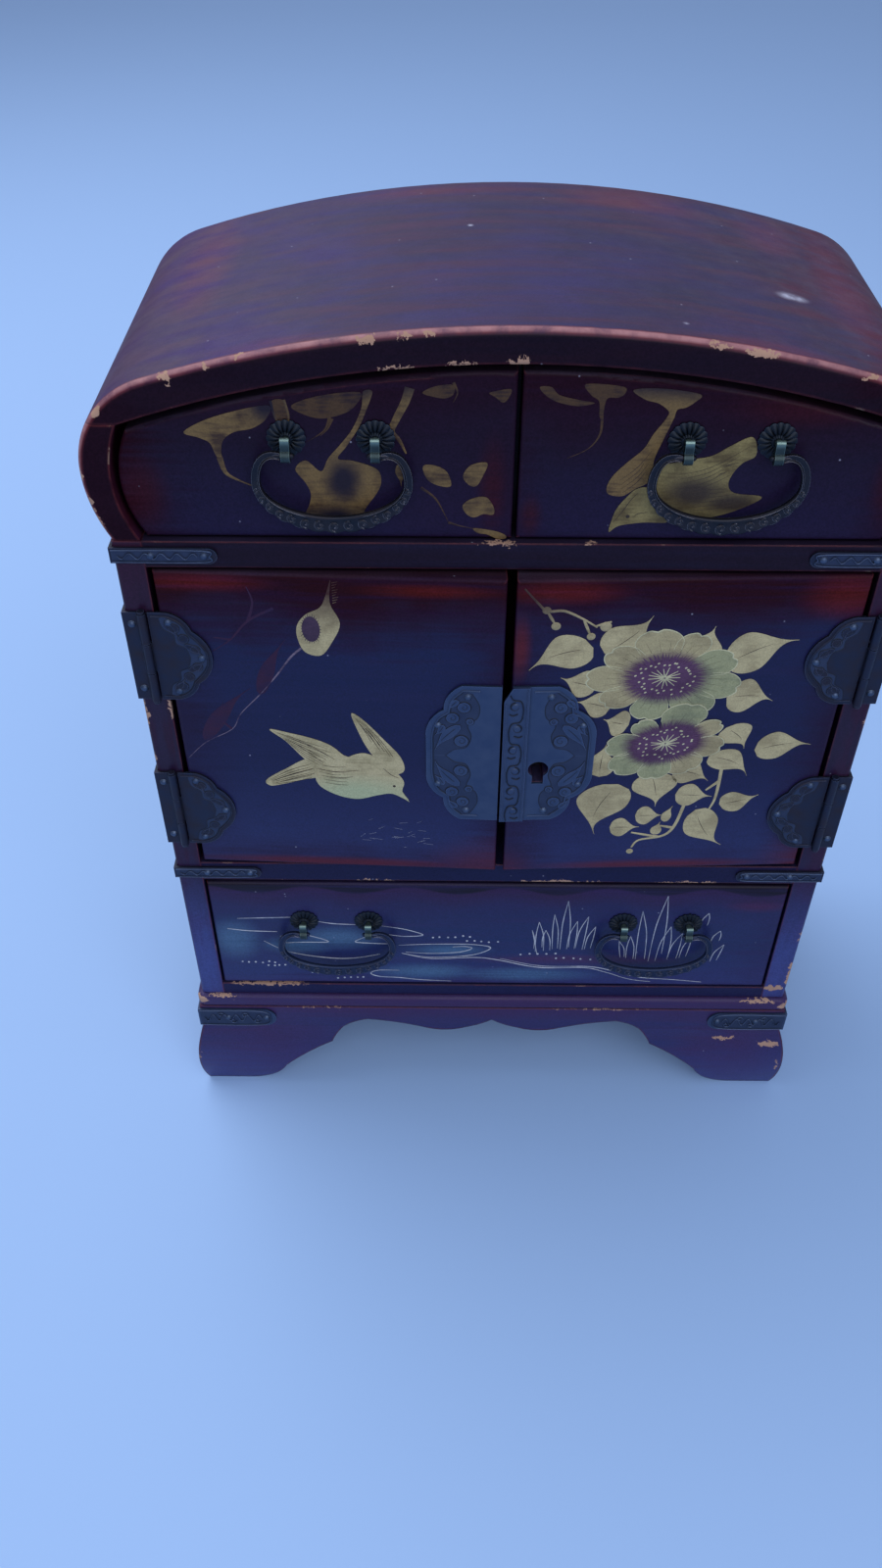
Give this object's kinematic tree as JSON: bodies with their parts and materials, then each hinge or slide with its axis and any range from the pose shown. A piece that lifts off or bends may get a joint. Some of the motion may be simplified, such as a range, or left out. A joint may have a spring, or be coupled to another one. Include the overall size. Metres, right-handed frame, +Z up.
{
  "type": "jewellery cabinet",
  "caption": "Small lacquered jewellery cabinet with an arched top, drawers, a pair of lockable cupboard doors, drop handles and a scalloped plinth.",
  "frame": {"origin": "on the floor under the middle of the whole cabinet", "axes": "+Z up, the front looks towards -Y, +X to the right seen from the front"},
  "size_m": [0.2194, 0.1107, 0.294],
  "materials": {
    "lacquered_wood": "worn gloss lacquer",
    "plain_wood": "plain",
    "patinated_metal": "dark patina",
    "nail_metal": "worn",
    "lock_steel": "plain"
  },
  "bodies": {
    "case": {"arched_top": "lacquered_wood", "left_shoulder": "lacquered_wood", "right_shoulder": "lacquered_wood", "left_side": "lacquered_wood", "right_side": "lacquered_wood", "back_panel": "plain_wood", "mid_shelf": "lacquered_wood", "lower_shelf": "lacquered_wood", "bottom_board": "lacquered_wood", "base_moulding": "lacquered_wood", "drawer_divider": "plain_wood", "plinth_front": "lacquered_wood", "plinth_left": "lacquered_wood", "plinth_right": "lacquered_wood", "plinth_back": "plain_wood", "foot_blocks": "plain_wood", "rail_straps": "patinated_metal", "plinth_straps": "patinated_metal", "left_hinge_case_leaves": "patinated_metal", "right_hinge_case_leaves": "patinated_metal", "hinge_pins": "patinated_metal", "case_nails": "nail_metal", "door_stop": "plain_wood"},
    "left_door": {"left_door_panel": "lacquered_wood", "left_lock_plate": "patinated_metal", "left_hinge_door_leaves": "patinated_metal", "left_door_nails": "nail_metal", "lock_keeper": "lock_steel"},
    "right_door": {"right_door_panel": "lacquered_wood", "right_lock_plate": "patinated_metal", "lock_astragal": "patinated_metal", "right_hinge_door_leaves": "patinated_metal", "right_door_nails": "nail_metal", "lock_case": "lock_steel"},
    "bolt": {"lock_bolt": "lock_steel"},
    "upper_left_drawer": {"upper_left_drawer_front": "lacquered_wood", "upper_left_drawer_left_side": "plain_wood", "upper_left_drawer_right_side": "plain_wood", "upper_left_drawer_back": "plain_wood", "upper_left_drawer_bottom": "plain_wood", "upper_left_drawer_rosettes": "patinated_metal", "upper_left_drawer_posts": "nail_metal"},
    "upper_right_drawer": {"upper_right_drawer_front": "lacquered_wood", "upper_right_drawer_left_side": "plain_wood", "upper_right_drawer_right_side": "plain_wood", "upper_right_drawer_back": "plain_wood", "upper_right_drawer_bottom": "plain_wood", "upper_right_drawer_rosettes": "patinated_metal", "upper_right_drawer_posts": "nail_metal"},
    "lower_drawer": {"lower_drawer_front": "lacquered_wood", "lower_drawer_left_side": "plain_wood", "lower_drawer_right_side": "plain_wood", "lower_drawer_back": "plain_wood", "lower_drawer_bottom": "plain_wood", "lower_drawer_rosettes": "patinated_metal", "lower_drawer_posts": "nail_metal"},
    "upper_left_handle": {"upper_left_bail": "patinated_metal"},
    "upper_right_handle": {"upper_right_bail": "patinated_metal"},
    "lower_left_handle": {"lower_left_bail": "patinated_metal"},
    "lower_right_handle": {"lower_right_bail": "patinated_metal"}
  },
  "joints": [
    {"name": "upper_left_drawer_slide", "type": "slide", "parent": "case", "child": "upper_left_drawer", "axis": [0, -1, 0], "range_m": [0, 0.075]},
    {"name": "upper_right_drawer_slide", "type": "slide", "parent": "case", "child": "upper_right_drawer", "axis": [0, -1, 0], "range_m": [0, 0.075]},
    {"name": "lower_drawer_slide", "type": "slide", "parent": "case", "child": "lower_drawer", "axis": [0, -1, 0], "range_m": [0, 0.075]},
    {"name": "left_door_hinge", "type": "hinge", "parent": "case", "child": "left_door", "pos_m": [-0.1003, -0.0511, 0.1672], "axis": [0, 0, -1], "range_deg": [-2.2, 150]},
    {"name": "right_door_hinge", "type": "hinge", "parent": "case", "child": "right_door", "pos_m": [0.1003, -0.0511, 0.1672], "axis": [0, 0, 1], "range_deg": [-2.2, 150]},
    {"name": "bolt_slide", "type": "slide", "parent": "right_door", "child": "bolt", "axis": [-0.9993, -0.0384, 0], "range_m": [0, 0.007]},
    {"name": "upper_left_handle_swing", "type": "hinge", "parent": "upper_left_drawer", "child": "upper_left_handle", "pos_m": [-0.046, -0.05155, 0.26261], "axis": [-1, 0, 0], "range_deg": [0, 95]},
    {"name": "upper_right_handle_swing", "type": "hinge", "parent": "upper_right_drawer", "child": "upper_right_handle", "pos_m": [0.0525, -0.05155, 0.26261], "axis": [-1, 0, 0], "range_deg": [0, 95]},
    {"name": "lower_left_handle_swing", "type": "hinge", "parent": "lower_drawer", "child": "lower_left_handle", "pos_m": [-0.0543, -0.05315, 0.0851], "axis": [-1, 0, 0], "range_deg": [0, 95]},
    {"name": "lower_right_handle_swing", "type": "hinge", "parent": "lower_drawer", "child": "lower_right_handle", "pos_m": [0.0543, -0.05315, 0.0851], "axis": [-1, 0, 0], "range_deg": [0, 95]}
  ]
}
